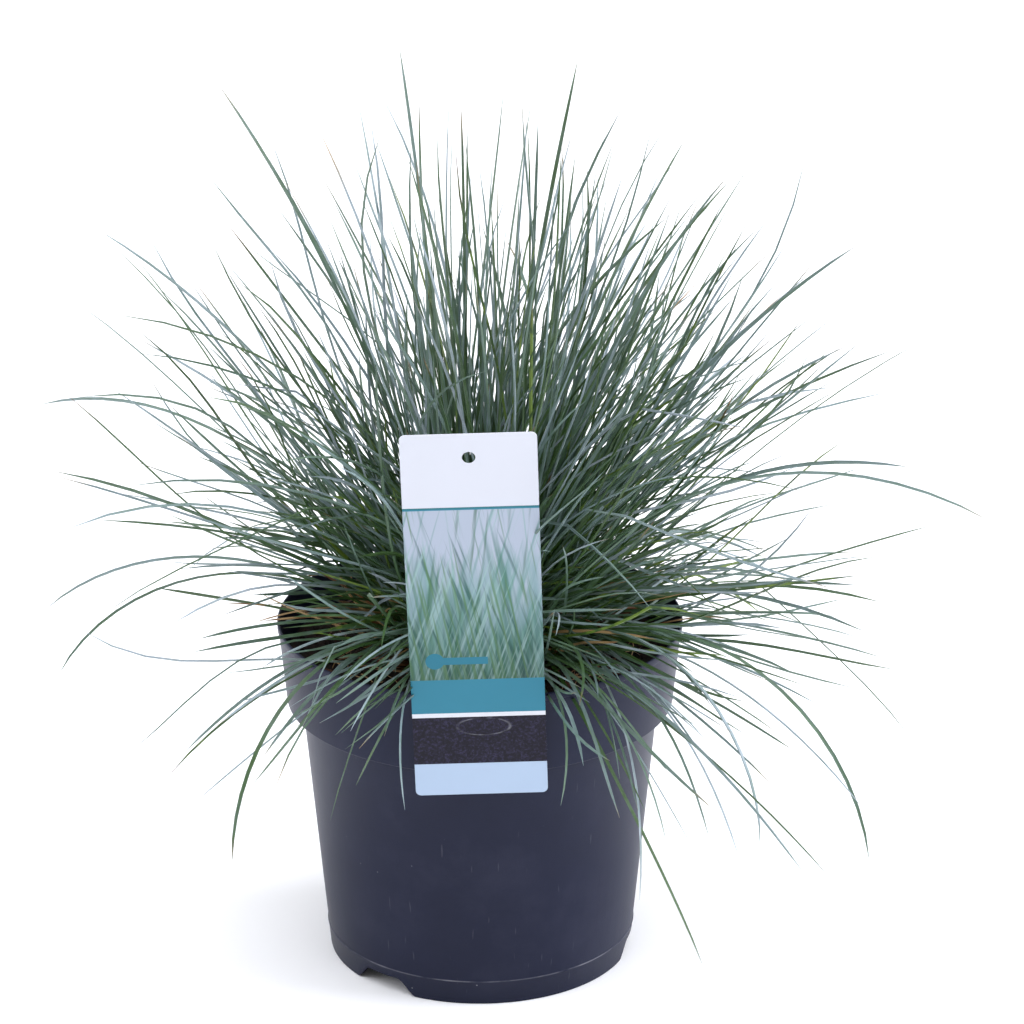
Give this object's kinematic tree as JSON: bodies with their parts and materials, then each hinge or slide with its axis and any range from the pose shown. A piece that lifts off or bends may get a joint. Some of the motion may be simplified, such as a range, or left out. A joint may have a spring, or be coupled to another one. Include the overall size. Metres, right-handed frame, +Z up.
{
  "type": "potted blue fescue clump",
  "caption": "Tuft of fine, arching blue-grey ornamental grass in a dark tapered nursery pot with a deep rim band, with a tall plain plant label standing at the front of the rim.",
  "frame": {"origin": "on the ground under the middle of the pot's foot, which is the middle of the object's outline to within a few millimetres", "axes": "+Z up through the pot and the tuft; -Y is the front, where the label stands; +X is to the right seen from the front"},
  "size_m": [0.4348, 0.406, 0.4424],
  "materials": {
    "pot_plastic": "satin",
    "peat": "matte",
    "sheaths": "matte",
    "label_plastic": "satin",
    "strap_plastic": "satin",
    "leaf": "satin"
  },
  "bodies": {
    "root": {"pot": "pot_plastic", "soil": "peat", "crown": "sheaths", "label": "label_plastic", "label_strap": "strap_plastic", "leaf_spray_01": "leaf", "leaf_spray_02": "leaf", "leaf_spray_03": "leaf", "leaf_spray_04": "leaf", "leaf_spray_05": "leaf", "leaf_spray_06": "leaf", "leaf_spray_07": "leaf", "leaf_spray_08": "leaf", "leaf_spray_09": "leaf", "leaf_spray_10": "leaf", "leaf_spray_11": "leaf", "leaf_spray_12": "leaf", "leaf_spray_13": "leaf", "leaf_spray_14": "leaf", "leaf_spray_15": "leaf", "leaf_spray_16": "leaf", "leaf_spray_17": "leaf", "leaf_spray_18": "leaf", "leaf_spray_19": "leaf", "leaf_spray_20": "leaf", "leaf_spray_21": "leaf", "leaf_spray_22": "leaf", "leaf_spray_23": "leaf", "leaf_spray_24": "leaf", "leaf_spray_25": "leaf", "leaf_spray_26": "leaf", "leaf_spray_27": "leaf", "leaf_spray_28": "leaf", "leaf_spray_29": "leaf", "leaf_spray_30": "leaf", "leaf_spray_31": "leaf", "leaf_spray_32": "leaf", "leaf_spray_33": "leaf", "leaf_spray_34": "leaf", "leaf_spray_35": "leaf", "leaf_spray_36": "leaf", "long_blade_01": "leaf", "long_blade_02": "leaf", "long_blade_03": "leaf", "long_blade_04": "leaf", "long_blade_05": "leaf", "long_blade_06": "leaf", "long_blade_07": "leaf", "long_blade_08": "leaf", "long_blade_09": "leaf", "long_blade_10": "leaf", "long_blade_11": "leaf", "long_blade_12": "leaf", "long_blade_13": "leaf", "long_blade_14": "leaf", "long_blade_15": "leaf", "long_blade_16": "leaf"}
  },
  "joints": []
}
